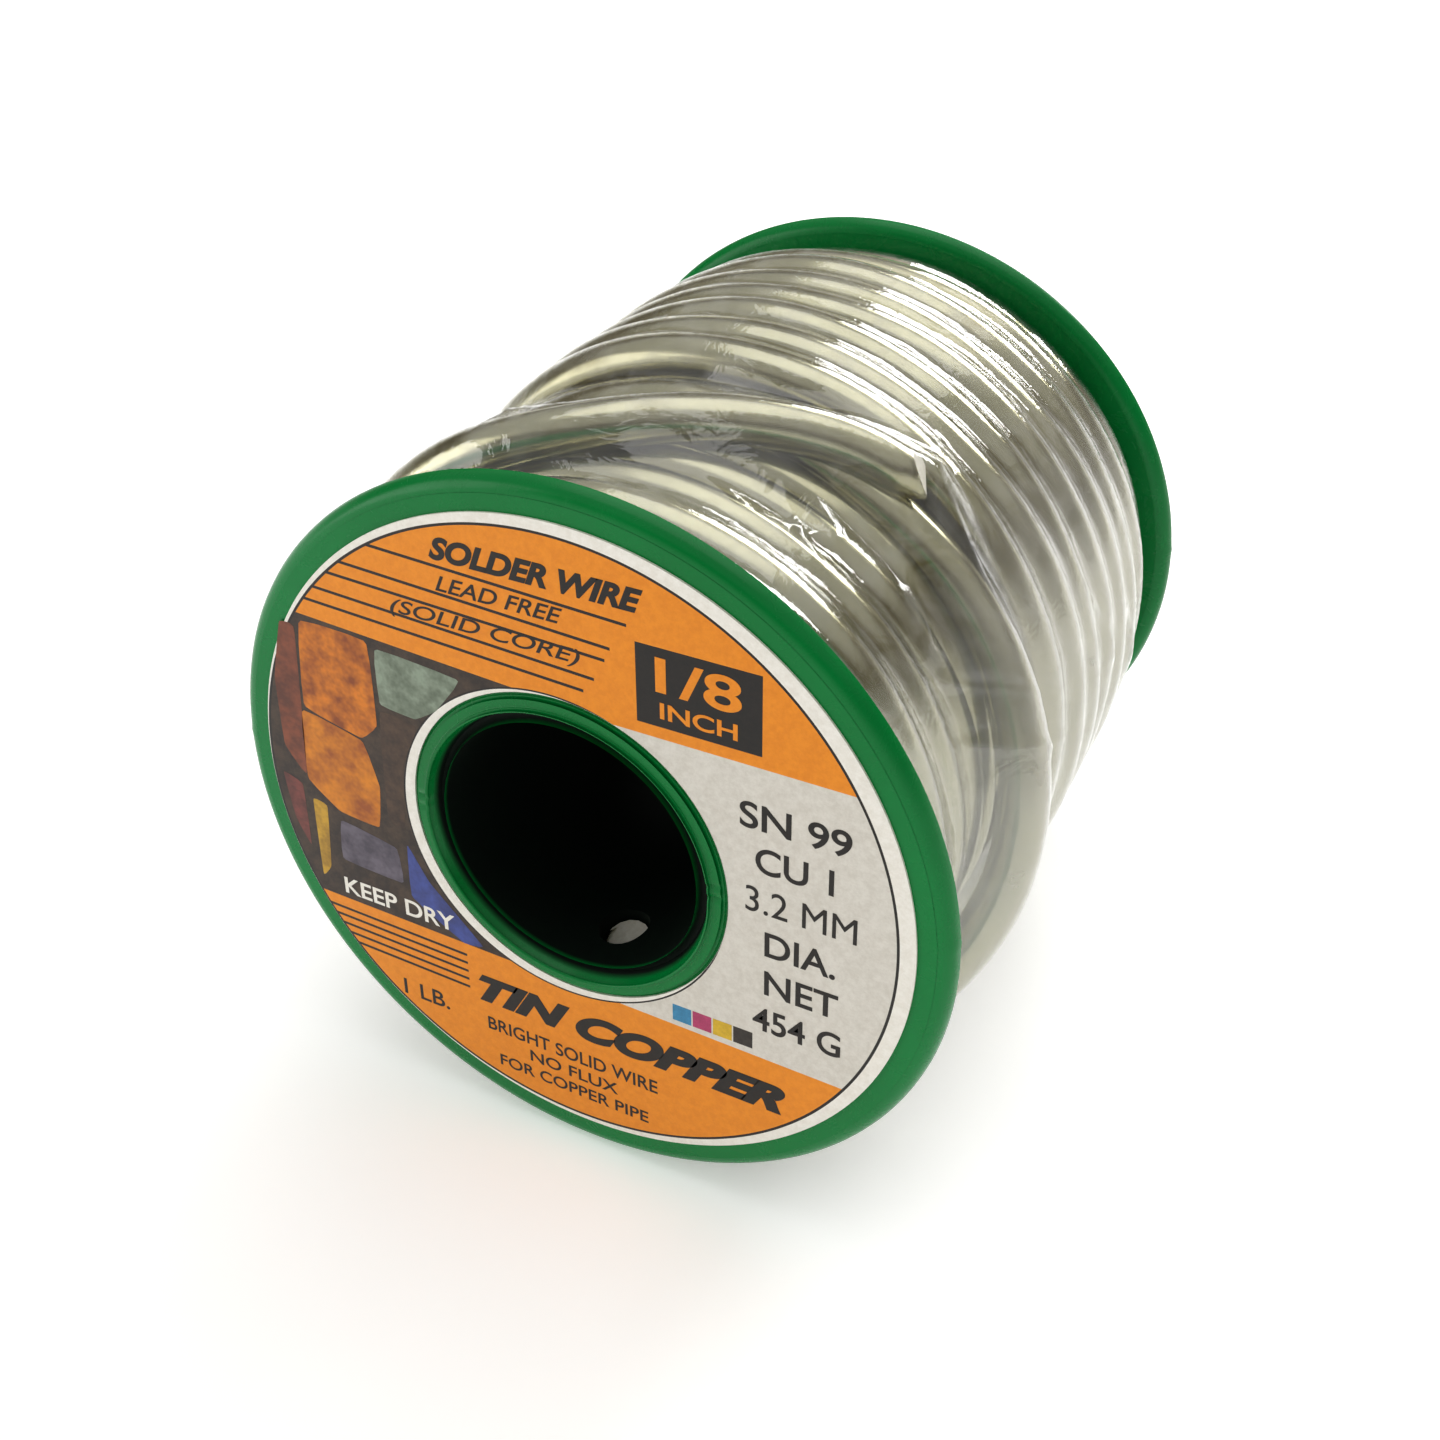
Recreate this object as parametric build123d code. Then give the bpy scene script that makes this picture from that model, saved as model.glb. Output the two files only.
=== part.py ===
from build123d import *
import math
import os

# One-pound spool of solid solder wire, lying on its two flange rims. Millimetres, +Z up. The
# spool's axis runs along Y, the labelled end faces -Y, and the origin is on the surface that the
# rims rest on, under the middle of the spool.

# Driving dimensions: the moulded spool
FLANGE_R = 25.4
WIDTH = 52.0  # between the two flat end faces
FLANGE_T = 2.1
RIM_ROUND = 0.85  # both edges of each rim, so that the rim is nearly half round
BORE_R = 9.1
BARREL_R = 10.5
COLLAR_R = 11.1
COLLAR_H = 0.6  # how far a collar stands proud of its end face
COLLAR_STEP_R = 10.4  # the collar's inner ring stands higher than its outer step
COLLAR_STEP_H = 0.2
COLLAR_EDGE = 0.2
START_HOLE_R = 1.75

# Driving dimensions: the wire
WIRE_D = 3.175
LAYER_COUNT = 5
LAYER_STEP = 2.75  # each layer beds into the valleys of the one below
FULL_TURNS = 14  # turns in the layers that reach both flanges
TOP_TURNS = 8  # the top layer stops part of the way along
WIRE_GAP = 0.02  # between the wire and what it lies against
WEB_T = 0.5  # thin web that joins the turns of one layer into one solid
START_ANGLE = 170.0  # degrees from straight up, towards +X
START_Y_FROM_FLANGE = 1.9
START_RECESS = 0.25  # how far the wire's first end stops short of the bore
TAIL_R = 23.65
TAIL_TILT = 6.04  # degrees that the free end's loop leans off square to the axis
TAIL_MID_Y = -9.0
TAIL_END_ANGLE = 33.0  # degrees from straight up, towards +X
TAIL_ARC = 183.0
NIP_LENGTH = 1.8  # the two bevels left by side cutters
NIP_EDGE = 0.4

# Driving dimensions: the film and the label
FILM_T = 0.12
FILM_GAP = 0.03
FILM_CLIMB_Y = (-16.5, -13.4)  # where the film climbs from the lower turns to the free end
LABEL_T = 0.15
LABEL_R = 23.2
LABEL_HOLE_R = 11.3

# Places worked out from them
WIRE_R = WIRE_D / 2
END_Y = WIDTH / 2
INNER_Y = END_Y - FLANGE_T
FIRST_TURN_Y = -INNER_Y + WIRE_GAP + WIRE_R
PITCH = -2 * FIRST_TURN_Y / (FULL_TURNS - 1)
LAYER_R = [BARREL_R + WIRE_GAP + WIRE_R + LAYER_STEP * n for n in range(LAYER_COUNT)]
SPOOL_AXIS = Axis((0, 0, FLANGE_R), (0, 1, 0))


def half_section(points):
    """A flat face in the YZ plane from (y, radius) points, the radius from the spool's axis."""
    return make_face(Plane.YZ * Polyline([(y, FLANGE_R + r) for y, r in points], close=True))


def turned(face):
    """The solid that a half section sweeps round the spool's axis."""
    return revolve(face, SPOOL_AXIS)


def radial_plane(angle, radius, y):
    """A plane facing away from the spool's axis, at an angle from straight up towards +X."""
    a = math.radians(angle)
    outward = Vector(math.sin(a), 0, math.cos(a))
    return Plane(origin=Vector(0, y, FLANGE_R) + outward * radius, z_dir=outward)


def spool_body():
    """One moulding: the barrel, two flanges with rounded rims, two collars, the start hole."""
    collar_y = END_Y + COLLAR_H
    rear_end = [
        (INNER_Y, BARREL_R),
        (INNER_Y, FLANGE_R),
        (END_Y, FLANGE_R),
        (END_Y, COLLAR_R),
        (collar_y - COLLAR_STEP_H, COLLAR_R),
        (collar_y - COLLAR_STEP_H, COLLAR_STEP_R),
        (collar_y, COLLAR_STEP_R),
        (collar_y, BORE_R + COLLAR_EDGE),
        (collar_y - COLLAR_EDGE, BORE_R),
    ]
    front_end = [(-y, r) for y, r in reversed(rear_end)]
    section = half_section(rear_end + front_end)
    rim_corners = [v for v in section.vertices() if abs(v.Z - 2 * FLANGE_R) < 0.01]
    body = turned(fillet(rim_corners, RIM_ROUND))
    hole = Cylinder(START_HOLE_R, 2 * (BARREL_R - BORE_R), align=(Align.CENTER, Align.CENTER, Align.MIN))
    hole_y = -INNER_Y + START_Y_FROM_FLANGE
    return body - radial_plane(START_ANGLE, BORE_R - 0.5, hole_y) * hole


def layer_turns(number):
    """The Y of each turn. Even layers reach both flanges, and odd ones lie in their valleys."""
    if number % 2 == 0:
        return [FIRST_TURN_Y + PITCH * n for n in range(FULL_TURNS)]
    valleys = [FIRST_TURN_Y + PITCH * (n + 0.5) for n in range(FULL_TURNS - 1)]
    if number == 1:
        return valleys[1:]
    return valleys[-TOP_TURNS:] if number == LAYER_COUNT else valleys


def wire_layer(number):
    """One layer of the winding as a closed solid: a row of turns joined by a thin web."""
    turns = layer_turns(number)
    middle = FLANGE_R + LAYER_R[number - 1]
    web = Plane.YZ * Pos((turns[0] + turns[-1]) / 2, middle) * Rectangle(turns[-1] - turns[0], WEB_T)
    section = web + [Plane.YZ * Pos(y, middle) * Circle(WIRE_R) for y in turns]
    return turned(section)


def wire_start():
    """The wire's first end, passed through the hole in the barrel beside the front flange."""
    base_r = BORE_R + START_RECESS
    length = LAYER_R[0] + WIRE_GAP - base_r
    peg = Cylinder(WIRE_R, length, align=(Align.CENTER, Align.CENTER, Align.MIN))
    return radial_plane(START_ANGLE, base_r, -INNER_Y + START_Y_FROM_FLANGE) * peg


def wire_tail():
    """The free end: half a loose turn that leans towards the rear, nipped off by side cutters."""
    loop = revolve(Plane.YZ * Pos(0, TAIL_R) * Circle(WIRE_R), Axis.Y, -TAIL_ARC)
    for side in (1, -1):
        over = TAIL_R + side * WIRE_D
        bevel = make_face(Plane.XZ * Polyline(
            [(0, TAIL_R + side * NIP_EDGE / 2), (-NIP_LENGTH, over), (0, over)], close=True))
        loop -= extrude(bevel, WIRE_D, both=True)
    return Pos(0, TAIL_MID_Y, FLANGE_R) * Rot(0, 0, TAIL_TILT) * Rot(0, TAIL_END_ANGLE, 0) * loop


def shrink_film():
    """Clear film shrunk round the winding from one flange to the other."""
    low = LAYER_R[3] + WIRE_R + FILM_GAP
    high = TAIL_R + WIRE_R + FILM_GAP
    inside = [(-INNER_Y, low), (FILM_CLIMB_Y[0], low), (FILM_CLIMB_Y[1], high), (INNER_Y, high)]
    outside = [(y, r + FILM_T) for y, r in reversed(inside)]
    return turned(half_section(inside + outside))


def front_label():
    """The printed paper ring stuck on the front flange, between its rim and the collar."""
    face, back = -END_Y - LABEL_T, -END_Y
    return turned(half_section([(back, LABEL_HOLE_R), (back, LABEL_R), (face, LABEL_R), (face, LABEL_HOLE_R)]))


parts = {
    "spool_body": spool_body(),
    "wire_start": wire_start(),
    **{f"wire_layer_{n}": wire_layer(n) for n in range(1, LAYER_COUNT + 1)},
    "wire_tail": wire_tail(),
    "shrink_film": shrink_film(),
    "front_label": front_label(),
}
os.makedirs("parts", exist_ok=True)
for name, part in parts.items():
    export_step(part, f"parts/{name}.step")
    print(name, round(part.volume, 1))
turns_length = sum(2 * math.pi * LAYER_R[n] * len(layer_turns(n + 1)) for n in range(LAYER_COUNT))
print("wire in the layers, mm", round(turns_length), "pitch", round(PITCH, 3))
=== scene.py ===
import math

import bmesh
import bpy
import numpy as np
from mathutils import Matrix, Vector


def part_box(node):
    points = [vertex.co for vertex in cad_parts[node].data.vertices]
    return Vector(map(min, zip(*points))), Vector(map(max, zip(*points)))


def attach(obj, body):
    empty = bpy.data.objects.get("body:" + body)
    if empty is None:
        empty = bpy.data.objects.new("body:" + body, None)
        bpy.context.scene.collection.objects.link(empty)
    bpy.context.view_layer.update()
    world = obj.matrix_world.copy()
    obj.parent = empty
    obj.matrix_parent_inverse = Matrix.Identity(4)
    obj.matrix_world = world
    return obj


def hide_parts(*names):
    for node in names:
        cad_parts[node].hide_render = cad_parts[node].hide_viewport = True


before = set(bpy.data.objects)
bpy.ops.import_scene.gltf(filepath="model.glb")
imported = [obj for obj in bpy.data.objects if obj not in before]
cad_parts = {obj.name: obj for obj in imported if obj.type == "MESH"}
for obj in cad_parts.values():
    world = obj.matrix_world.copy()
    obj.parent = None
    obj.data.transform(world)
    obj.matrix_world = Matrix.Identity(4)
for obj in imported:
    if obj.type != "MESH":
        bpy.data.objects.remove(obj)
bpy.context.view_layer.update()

# ---------------------------------------------------------------------------------------------
# The moulded spool: a thin barrel between two flanges, with a low collar round each end of the
# bore. It is one injection moulding in opaque green polystyrene. Everything else is wound on it,
# shrunk round it or stuck to it.
MM = 0.001
spool_low, spool_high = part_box("spool_body")
FLANGE_R = (spool_high[0] - spool_low[0]) / 2 / MM
AXIS_Z = (spool_low[2] + spool_high[2]) / 2 / MM
COLLAR_Y = spool_high[1] / MM
COLLAR_PROUD = 0.6
FLANGE_T = 2.1
END_Y = COLLAR_Y - COLLAR_PROUD
INNER_Y = END_Y - FLANGE_T
RIM_ROUND = 1.04
RIM_ZONE = 1.2  # how far in from the edge a point still counts as the rim
FLAT_R = FLANGE_R - 1.5  # where the flat of a flange ends
BORE_R = 9.1
BARREL_R = 10.5
COLLAR_R = 11.1
COLLAR_STEP_R = 10.35
COLLAR_STEP_Y = COLLAR_Y - 0.25
HOLE_R = 1.75
HOLE_ANGLE = 170  # degrees from straight up
HOLE_Y = -INNER_Y + 1.9
PARTING_ANGLES = (-88, 86)  # where the two halves of the mould met


def linear(hex_colour):
    """An sRGB hex colour as linear RGBA."""
    channels = [int(hex_colour[i:i + 2], 16) / 255 for i in (1, 3, 5)]
    return [c / 12.92 if c <= 0.04045 else ((c + 0.055) / 1.055) ** 2.4 for c in channels] + [1]


def new_material(name):
    """An empty node material and its output node."""
    material = bpy.data.materials.new(name)
    material.use_nodes = True
    material.node_tree.nodes.clear()
    return material, node(material, "OutputMaterial")


def node(material, kind, inputs=None, **settings):
    """Add a shader node. An input's value is a number, a colour, or another node's socket."""
    tree = material.node_tree
    made = tree.nodes.new("ShaderNode" + kind)
    for key, value in settings.items():
        setattr(made, key, value)
    for key, value in (inputs or {}).items():
        if isinstance(key, int):
            socket = made.inputs[key]
        else:  # inputs can share a name, and only one of them is in use
            socket = next(s for s in made.inputs if s.name == key and s.enabled)
        if isinstance(value, bpy.types.NodeSocket):
            tree.links.new(value, socket)
        else:
            socket.default_value = value
    return made


def ramp(material, factor, stops):
    """A colour ramp through (position, hex colour) stops."""
    made = node(material, "ValToRGB", {"Fac": factor})
    elements = made.color_ramp.elements
    while len(elements) < len(stops):
        elements.new(0.5)
    for element, (position, colour) in zip(elements, stops):
        element.position = position
        element.color = linear(colour)
    return made.outputs["Color"]


def add_piece(name, points, faces, materials, replaces=(), slot=None, sharp=35):
    """A mesh from points in millimetres, smooth except across sharp edges, riding on the root."""
    mesh = bpy.data.meshes.new(name)
    mesh.from_pydata([(x * MM, y * MM, z * MM) for x, y, z in points], [], faces)
    tidy = bmesh.new()
    tidy.from_mesh(mesh)
    bmesh.ops.recalc_face_normals(tidy, faces=tidy.faces)
    tidy.to_mesh(mesh)
    tidy.free()
    mesh.shade_smooth()
    mesh.set_sharp_from_angle(angle=math.radians(sharp))
    for material in materials:
        mesh.materials.append(material)
    piece = bpy.data.objects.new(name, mesh)
    bpy.context.scene.collection.objects.link(piece)
    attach(piece, "root")
    if replaces:
        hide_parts(*replaces)
    return piece


def on_spool(angle, radius, y):
    """A point round the spool's axis, the angle in degrees from straight up towards +X."""
    a = math.radians(angle)
    return (radius * math.sin(a), y, AXIS_Z + radius * math.cos(a))


def rounded(corners, step=15):
    """Replace each (y, radius, rounding) corner of a closed outline by an arc."""
    outline = []
    for i, (y, r, rounding) in enumerate(corners):
        here = Vector((y, r))
        if not rounding:
            outline.append((y, r))
            continue
        before = Vector(corners[i - 1][:2]) - here
        after = Vector(corners[(i + 1) % len(corners)][:2]) - here
        half = before.angle(after) / 2
        centre = here + (before.normalized() + after.normalized()).normalized() * rounding / math.sin(half)
        start = here + before.normalized() * rounding / math.tan(half) - centre
        sweep = math.pi - 2 * half
        if start.x * after.y - start.y * after.x < 0:
            sweep = -sweep
        count = max(2, round(math.degrees(abs(sweep)) / step))
        for k in range(count + 1):
            outline.append(tuple(centre + Matrix.Rotation(sweep * k / count, 2) @ start))
    return outline


def parting_marks(angle, radius, y):
    """How far the surface stands proud, in mm: a fine ridge on the rims, two nicks in the collar."""
    proud = 0
    for parting in PARTING_ANGLES:
        off = (angle - parting + 180) % 360 - 180
        if radius > FLANGE_R - RIM_ZONE:
            proud += 0.05 * math.exp(-(off / 0.8) ** 2)
        if BORE_R + 0.3 < radius < COLLAR_R and abs(y) > END_Y + 0.2:
            proud -= 0.12 * math.exp(-((off - 2) / 1.2) ** 2) + 0.1 * math.exp(-((off + 2.5) / 1.2) ** 2)
    return proud


# rows of points across the barrel wall that the hole for the wire is cut into
hole_rows = list(np.linspace(HOLE_Y - 1.82, HOLE_Y + 2.2, 11))
half_outline = [
    (INNER_Y, BARREL_R, 0),
    (INNER_Y, FLAT_R, 0),
    (INNER_Y, FLANGE_R, RIM_ROUND),
    (END_Y, FLANGE_R, RIM_ROUND),
    (END_Y, FLAT_R, 0),
    (END_Y, COLLAR_R + 0.5, 0),
    (END_Y, COLLAR_R, 0.15),
    (COLLAR_STEP_Y, COLLAR_R, 0.18),
    (COLLAR_STEP_Y, COLLAR_STEP_R, 0.08),
    (COLLAR_Y, COLLAR_STEP_R, 0.15),
    (COLLAR_Y, BORE_R, 0.55),
]
corners = half_outline + [(y, BORE_R, 0) for y in reversed(hole_rows)]
corners += [(-y, r, rounding) for y, r, rounding in reversed(half_outline)]
corners += [(y, BARREL_R, 0) for y in hole_rows]
outline = rounded(corners)
columns = 360
points = []
for y, r in outline:
    for angle in range(columns):
        proud = parting_marks(angle, r, y)
        if r < FLANGE_R - RIM_ZONE:  # the nicks are cut into the end face, the ridge stands out of the rim
            points.append(on_spool(angle, r, y + proud * math.copysign(1, y)))
        else:
            points.append(on_spool(angle, r + proud, y))
reach = 15  # columns each side of the hole that are rebuilt round it
patch_rows = {}
for wall_r in (BORE_R, BARREL_R):
    patch_rows[wall_r] = [
        i for i, (y, r) in enumerate(outline)
        if abs(r - wall_r) < 1e-6 and hole_rows[0] - 1e-6 <= y <= hole_rows[-1] + 1e-6
    ]
skipped = {
    (i, angle) for rows in patch_rows.values() for i in rows[:-1]
    for angle in range(HOLE_ANGLE - reach, HOLE_ANGLE + reach)
}
faces = []
for i in range(len(outline)):
    below = (i + 1) % len(outline)
    for angle in range(columns):
        if (i, angle) not in skipped:
            beside = (angle + 1) % columns
            faces.append([n * columns + a for n, a in ((i, angle), (i, beside), (below, beside), (below, angle))])
hole_loops = []
for wall_r, rows in patch_rows.items():
    rows = sorted(rows, key=lambda i: outline[i][0])
    left, right = HOLE_ANGLE - reach, HOLE_ANGLE + reach
    border = [(rows[0], a) for a in range(left, right)] + [(i, right) for i in rows[:-1]]
    border += [(rows[-1], a) for a in range(right, left, -1)] + [(i, left) for i in rows[:0:-1]]
    loop = []
    for i, a in border:
        across = math.radians(a - HOLE_ANGLE) * wall_r
        along = outline[i][0] - HOLE_Y
        scale = HOLE_R / math.hypot(across, along)
        loop.append(len(points))
        points.append(on_spool(HOLE_ANGLE + math.degrees(across * scale / wall_r), wall_r, HOLE_Y + along * scale))
    for k, (i, a) in enumerate(border):
        following = (k + 1) % len(border)
        next_i, next_a = border[following]
        faces.append([i * columns + a, next_i * columns + next_a, loop[following], loop[k]])
    hole_loops.append(loop)
for k in range(len(hole_loops[0])):
    following = (k + 1) % len(hole_loops[0])
    faces.append([hole_loops[0][k], hole_loops[0][following], hole_loops[1][following], hole_loops[1][k]])

# Green polystyrene: fairly glossy, with a faint orange-peel skin, slow drifts of tone where the
# melt flowed, and fine scuffs that break up the gloss. The bore is left matt by the core pin of
# the mould and dulled by spindles; its wall is painted almost black, as painted shade deep in the bore.
plastic, plastic_out = new_material("moulded_green_polystyrene")
place = node(plastic, "TexCoord").outputs["Object"]
flow = node(plastic, "TexNoise", {"Vector": place, "Scale": 70, "Detail": 4, "Roughness": 0.6})  # 14 mm drifts
grain = node(plastic, "TexNoise", {"Vector": place, "Scale": 2600, "Detail": 2})  # 0.4 mm skin
scuffs = node(plastic, "TexNoise", {"Vector": place, "Scale": 420, "Detail": 6, "Roughness": 0.7, "Distortion": 1.5})
green = ramp(plastic, flow.outputs["Fac"], ((0.3, "#007638"), (0.7, "#00813F")))
gloss = node(plastic, "MapRange", {
    "Value": scuffs.outputs["Fac"], "From Min": 0.35, "From Max": 0.75, "To Min": 0.22, "To Max": 0.33})
off_axis = node(plastic, "VectorMath", {0: place, 1: (0, 0, AXIS_Z * MM)}, operation="SUBTRACT")
across_axis = node(plastic, "VectorMath", {0: off_axis.outputs["Vector"], 1: (1, 0, 1)}, operation="MULTIPLY")
radius = node(plastic, "VectorMath", {0: across_axis.outputs["Vector"]}, operation="LENGTH")
from_bore = node(plastic, "MapRange", {
    "Value": radius.outputs["Value"], "From Min": (BARREL_R - 0.2) * MM, "From Max": (BARREL_R - 0.05) * MM})
depth = node(plastic, "SeparateXYZ", {"Vector": place})
to_end = node(plastic, "Math", {0: depth.outputs["Y"]}, operation="ABSOLUTE")
from_mouth = node(plastic, "MapRange", {
    "Value": to_end.outputs["Value"], "From Min": (COLLAR_Y - 0.9) * MM, "From Max": (COLLAR_Y - 0.5) * MM})
outside_bore = node(
    plastic, "Math", {0: from_bore.outputs["Result"], 1: from_mouth.outputs["Result"]}, operation="MAXIMUM")
# painted shade: inside the bore and its mouth the colour is near black, standing in for the shade deep in the bore
painted_bore_shade = ramp(plastic, scuffs.outputs["Fac"], ((0.3, "#000F07"), (0.7, "#04180D")))
colour = node(plastic, "Mix", {"Factor": outside_bore.outputs["Value"], "A": painted_bore_shade, "B": green}, data_type="RGBA")
finish = node(plastic, "MapRange", {
    "Value": outside_bore.outputs["Value"], "To Min": 0.65, "To Max": gloss.outputs["Result"]})
skin = node(plastic, "Bump", {"Height": grain.outputs["Fac"], "Strength": 0.1, "Distance": 0.00004})
plastic_shader = node(plastic, "BsdfPrincipled", {
    "Base Color": colour.outputs["Result"], "Roughness": finish.outputs["Result"], "IOR": 1.59,
    "Specular IOR Level": 0.22, "Normal": skin.outputs["Normal"]})
plastic.node_tree.links.new(plastic_shader.outputs["BSDF"], plastic_out.inputs["Surface"])
add_piece("spool_moulding", points, faces, [plastic], ["spool_body"], "spool_plastic")

# ---------------------------------------------------------------------------------------------
# The wire: one length of solid tin-copper solder 3.2 mm thick, drawn through a die and wound in
# five layers. Its first end comes up through the hole in the barrel; its last end is nipped off
# by side cutters and lies over the gap where the fifth layer stops.
WIRE_R = 3.175 / 2
GAP = 0.02  # what is left between pieces that touch
LAYER_RISE = 2.75  # each layer sinks a little into the valleys of the one below
LAYER_R = [BARREL_R + GAP + WIRE_R + LAYER_RISE * n for n in range(5)]
FULL_TURNS = 14
FIRST_Y = -INNER_Y + GAP + WIRE_R
PITCH = -2 * FIRST_Y / (FULL_TURNS - 1)
NIP_EDGE = 0.15  # half of what the cutters leave of the wire at its tip
NIP_SLOPE = 0.8
NIP_LENGTH = 1.8


def wound(turn_ys, radius, first_angle, reference, step):
    """(angle, y, radius) along a row of turns that pass y = turn_ys[k] at the reference angle."""
    angles = np.arange(first_angle, first_angle + 360 * len(turn_ys) + step / 2, step)
    crossings = reference + 360 * np.arange(len(turn_ys))
    ys = np.interp(angles, crossings, turn_ys)
    return np.column_stack([angles, ys, np.full(len(angles), float(radius))])


def softened(path, width):
    """Average a path's y and radius over a few steps, so that no turn kinks."""
    kernel = np.hanning(width + 2)[1:-1]
    kernel /= kernel.sum()
    for column in (1, 2):
        padded = np.pad(path[:, column], width // 2, mode="edge")
        path[:, column] = np.convolve(padded, kernel, mode="valid")
    return path


def waver(path, seed, along, outward):
    """Add the small slow wander of a hand-guided winding, in mm."""
    random = np.random.default_rng(seed)
    for column, amount in ((1, along), (2, outward)):
        for period in (47.0, 83.0, 151.0, 290.0):
            path[:, column] += amount / 2 * np.sin(2 * np.pi * (path[:, 0] / period + random.random()))
    return path


def strand(name, path, sides, nipped=False, **where):
    """A tube along an (angle, y, radius) path. A nipped end has the two bevels of side cutters."""
    angle = np.radians(path[:, 0])
    middle = np.column_stack([path[:, 2] * np.sin(angle), path[:, 1], AXIS_Z + path[:, 2] * np.cos(angle)])
    along = np.gradient(middle, axis=0)
    along /= np.linalg.norm(along, axis=1)[:, None]
    sideways = np.array([0, 1, 0]) - along * along[:, 1:2]
    sideways /= np.linalg.norm(sideways, axis=1)[:, None]
    outward = np.cross(sideways, along)
    left = np.concatenate([np.cumsum(np.linalg.norm(np.diff(middle, axis=0), axis=1)[::-1])[::-1], [0]])
    half = np.where(nipped, np.minimum(WIRE_R, NIP_EDGE + left * NIP_SLOPE), WIRE_R)[:, None]
    round_it = np.arange(sides) * 2 * np.pi / sides
    out = np.clip(WIRE_R * np.cos(round_it)[None, :], -half, half)
    side = np.broadcast_to(WIRE_R * np.sin(round_it), out.shape)
    rings = middle[:, None] + out[..., None] * outward[:, None] + side[..., None] * sideways[:, None]
    count = len(path)
    quads = [
        (i * sides + j, i * sides + (j + 1) % sides, (i + 1) * sides + (j + 1) % sides, (i + 1) * sides + j)
        for i in range(count - 1) for j in range(sides)
    ]
    quads.append(tuple(range(sides)))
    quads.append(tuple((count - 1) * sides + j for j in range(sides)))
    piece = add_piece(name, rings.reshape(-1, 3).tolist(), quads, [solder, cut_solder], sharp=28, **where)
    for polygon in piece.data.polygons:
        on_end = len(polygon.vertices) > 4
        near_nip = nipped and left[polygon.index // sides] < NIP_LENGTH
        if on_end or (near_nip and bevelled(polygon, half, sides)):
            polygon.material_index = 1
    return piece


def bevelled(polygon, half, sides):
    """Whether a face of a nipped end lies on one of the two bevels."""
    limits = [half[v // sides][0] for v in polygon.vertices]
    turns = [abs(WIRE_R * math.cos(v % sides * 2 * math.pi / sides)) for v in polygon.vertices]
    return all(turn >= limit - 0.02 for turn, limit in zip(turns, limits))


# Drawn tin-copper: a soft white-grey metal with a faint straw cast where it has begun to oxidise,
# and fine die lines that run along the wire, so its highlights are long and a little broken.
solder, solder_out = new_material("drawn_tin_copper_solder")
place = node(solder, "TexCoord").outputs["Object"]
from_axis = node(solder, "VectorMath", {0: place, 1: (0, 0, AXIS_Z * MM)}, operation="SUBTRACT")
flat = node(solder, "VectorMath", {0: from_axis.outputs["Vector"], 1: (1, 0, 1)}, operation="MULTIPLY")
distance = node(solder, "VectorMath", {0: flat.outputs["Vector"]}, operation="LENGTH")
along_axis = node(solder, "SeparateXYZ", {"Vector": place})
section = node(solder, "CombineXYZ", {"X": distance.outputs["Value"], "Y": along_axis.outputs["Y"]})
# real die lines are about 0.05 mm apart; these are 0.25 mm so that they show
die_lines = node(solder, "TexNoise", {
    "Vector": section.outputs["Vector"], "Scale": 4000, "Detail": 3, "Roughness": 0.6})
oxide = node(solder, "TexNoise", {"Vector": place, "Scale": 130, "Detail": 5, "Roughness": 0.65})  # 8 mm blooms
tone = ramp(solder, oxide.outputs["Fac"], ((0.3, "#A3A083"), (0.55, "#B4B196"), (0.8, "#90896A")))
dulling = node(solder, "MapRange", {
    "Value": oxide.outputs["Fac"], "From Min": 0.3, "From Max": 0.7, "To Min": 0.18, "To Max": 0.28})
lines = node(solder, "Bump", {"Height": die_lines.outputs["Fac"], "Strength": 0.25, "Distance": 0.00004})
solder_shader = node(solder, "BsdfPrincipled", {
    "Base Color": tone, "Metallic": 1.0, "Roughness": dulling.outputs["Result"], "Normal": lines.outputs["Normal"]})
solder.node_tree.links.new(solder_shader.outputs["BSDF"], solder_out.inputs["Surface"])

# Where cutters went through it the metal is bright and matt, with the drag marks of the blades.
cut_solder, cut_out = new_material("cut_solder")
place = node(cut_solder, "TexCoord").outputs["Object"]
drag = node(cut_solder, "TexNoise", {"Vector": place, "Scale": 2500, "Detail": 3, "Roughness": 0.7})  # 0.4 mm
bright = ramp(cut_solder, drag.outputs["Fac"], ((0.3, "#E6E2D4"), (0.7, "#F8F5EA")))
marks = node(cut_solder, "Bump", {"Height": drag.outputs["Fac"], "Strength": 0.4, "Distance": 0.00006})
cut_shader = node(cut_solder, "BsdfPrincipled", {
    "Base Color": bright, "Metallic": 0.2, "Roughness": 0.45, "Normal": marks.outputs["Normal"]})
cut_solder.node_tree.links.new(cut_shader.outputs["BSDF"], cut_out.inputs["Surface"])

# The first end and the innermost layer: the end is bent to pass down through the barrel's hole.
full = [FIRST_Y + PITCH * n for n in range(FULL_TURNS)]
valleys = [FIRST_Y + PITCH * (n + 0.5) for n in range(FULL_TURNS - 1)]
INNER_SIDES = 16
ON_BARREL = HOLE_ANGLE + 18  # where the bend out of the hole ends
IN_STEP = HOLE_ANGLE + 300  # where the first turn reaches its place in the layer
inner = wound(valleys[1:], LAYER_R[0], ON_BARREL, IN_STEP, 6)
leading_in = inner[:, 0] <= IN_STEP
inner[leading_in, 1] = np.interp(inner[leading_in, 0], [ON_BARREL, IN_STEP], [HOLE_Y, valleys[1]])
bend = [(HOLE_ANGLE, HOLE_Y, BORE_R + 0.7), (HOLE_ANGLE + 0.5, HOLE_Y, BORE_R + 1.8)]
bend += [(HOLE_ANGLE + 2.5, HOLE_Y, BORE_R + 2.1), (HOLE_ANGLE + 7, HOLE_Y, BORE_R + 2.6)]
bend += [(HOLE_ANGLE + 12.5, HOLE_Y, LAYER_R[0] - 0.12)]
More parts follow.
